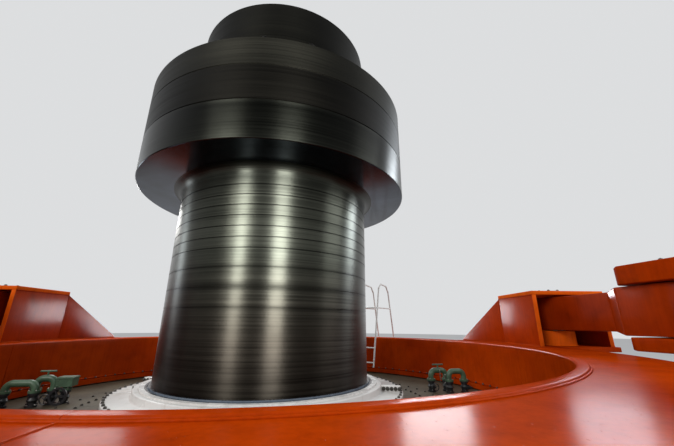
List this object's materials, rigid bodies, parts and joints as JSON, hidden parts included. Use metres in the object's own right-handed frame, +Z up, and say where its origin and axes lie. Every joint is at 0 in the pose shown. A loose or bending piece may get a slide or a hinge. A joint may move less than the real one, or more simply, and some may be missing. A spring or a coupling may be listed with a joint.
{
  "type": "hydroelectric turbine main shaft assembly with gate operating ring",
  "caption": "Upright hydroelectric shaft and coupling that turn in a guide bearing on a head cover, inside an orange gate operating ring with lugs, links and forks.",
  "frame": {"origin": "on the shaft's axis at the head cover's seat", "axes": "+Z up along the shaft; -Y is the side the picture is taken from and the links run towards; +X to the picture's right"},
  "size_m": [10.3923, 9.3, 5.501],
  "materials": {
    "turned_steel": "oiled turned steel, dark olive grey, fine round streaks",
    "flange_steel": "turned steel, grey olive, fine round streaks",
    "bare_steel": "machined steel with a film of grease",
    "deck_paint": "worn khaki deck paint",
    "white_paint": "white enamel with oil stains",
    "seal_metal": "oiled black metal",
    "orange_paint": "thick glossy brushed red-orange enamel",
    "bright_orange_paint": "glossy bright orange enamel",
    "green_paint": "satin grey-green pipe paint",
    "valve_black": "black valve paint with grease"
  },
  "bodies": {
    "pit_frame": {"head_cover_front": "deck_paint", "head_cover_back": "deck_paint", "deck_ring": "deck_paint", "slide_pad": "bare_steel", "housing_front": "white_paint", "housing_back": "white_paint", "seal_ring": "seal_metal", "right_pipe_loops": "green_paint", "right_valves": "valve_black", "left_pipe_manifold": "green_paint", "left_valves": "valve_black"},
    "shaft_line": {"turbine_shaft": "turned_steel", "coupling_ring": "turned_steel", "generator_shaft": "flange_steel"},
    "operating_ring": {"ring_quarter_1": "orange_paint", "ring_quarter_2": "orange_paint", "ring_quarter_3": "orange_paint", "ring_quarter_4": "orange_paint", "ring_base_1": "orange_paint", "ring_base_2": "orange_paint", "ring_base_3": "orange_paint", "ring_base_4": "orange_paint", "right_lug_shelf": "orange_paint", "right_lug_inner_side": "orange_paint", "right_lug_outer_side": "orange_paint", "right_lug_roof": "bright_orange_paint", "right_lug_pin": "bare_steel", "left_lug_shelf": "orange_paint", "left_lug_inner_side": "orange_paint", "left_lug_outer_side": "orange_paint", "left_lug_roof": "bright_orange_paint", "left_lug_pin": "bare_steel", "access_ladder": "white_paint"},
    "right_link_bar": {"right_link": "orange_paint"},
    "left_link_bar": {"left_link": "orange_paint"},
    "right_fork_end": {"right_fork": "orange_paint", "right_fork_pin": "bare_steel"},
    "left_fork_end": {"left_fork": "orange_paint", "left_fork_pin": "bare_steel"}
  },
  "joints": [
    {"name": "shaft_spin", "type": "hinge", "parent": "pit_frame", "child": "shaft_line", "pos_m": [0, 0, 0.3], "axis": [0, 0, 1], "continuous": true},
    {"name": "ring_turn", "type": "hinge", "parent": "pit_frame", "child": "operating_ring", "pos_m": [0, 0, 0.32], "axis": [0, 0, 1], "range_deg": [-2, 22]},
    {"name": "right_link_swing", "type": "hinge", "parent": "operating_ring", "child": "right_link_bar", "pos_m": [4.65385, 0.05479, 1.475], "axis": [0, 0, 1], "range_deg": [-22, 2]},
    {"name": "left_link_swing", "type": "hinge", "parent": "operating_ring", "child": "left_link_bar", "pos_m": [-4.33108, 1.70383, 1.475], "axis": [0, 0, 1], "range_deg": [-22, 2]},
    {"name": "right_fork_swing", "type": "hinge", "parent": "right_link_bar", "child": "right_fork_end", "pos_m": [4.65385, -1.79521, 1.475], "axis": [0, 0, 1], "range_deg": [-3, 3]},
    {"name": "left_fork_swing", "type": "hinge", "parent": "left_link_bar", "child": "left_fork_end", "pos_m": [-4.33108, -0.14617, 1.475], "axis": [0, 0, 1], "range_deg": [-3, 3]}
  ],
  "couplings": [
    {"joint": "right_link_swing", "follows": "ring_turn", "ratio": -1},
    {"joint": "left_link_swing", "follows": "ring_turn", "ratio": -1}
  ]
}
